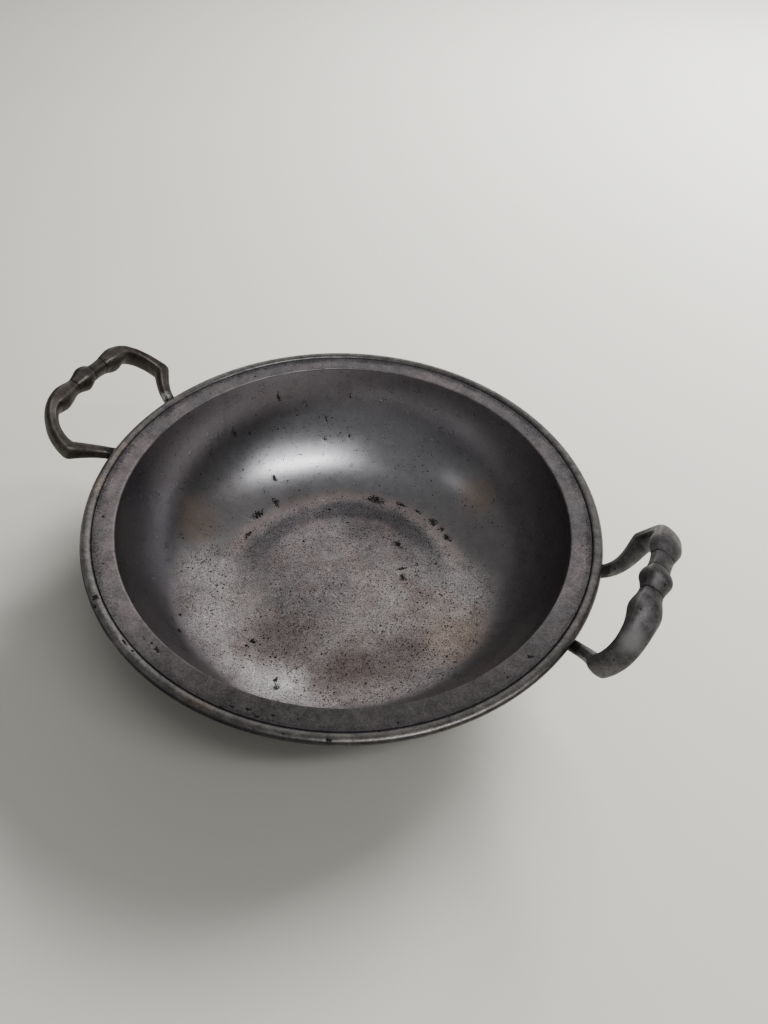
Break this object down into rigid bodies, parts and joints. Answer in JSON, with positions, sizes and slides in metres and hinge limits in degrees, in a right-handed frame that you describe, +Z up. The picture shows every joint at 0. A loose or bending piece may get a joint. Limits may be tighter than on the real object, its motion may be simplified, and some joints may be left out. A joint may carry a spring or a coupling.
{
  "type": "shaving bowl",
  "caption": "Wide, deep pewter bowl with a flat rim edged by a raised reed, and a cast loop handle with knopped grip standing out at each side.",
  "frame": {"origin": "centre of the flat underside, on the bowl's turning axis", "axes": "+Z up along the bowl's axis; +X through the steeper handle's grip, so both handles lie along X"},
  "size_m": [0.3389, 0.27, 0.1096],
  "materials": {
    "bowl_pewter": "aged pewter, satin, pitted and stained",
    "handle_casting": "cast pewter, worn smooth",
    "solder": "dull, blackened solder"
  },
  "bodies": {
    "root": {"bowl": "bowl_pewter", "handle_right": "handle_casting", "handle_left": "handle_casting", "solder_right_near": "solder", "solder_right_far": "solder", "solder_left_near": "solder", "solder_left_far": "solder"}
  },
  "joints": []
}
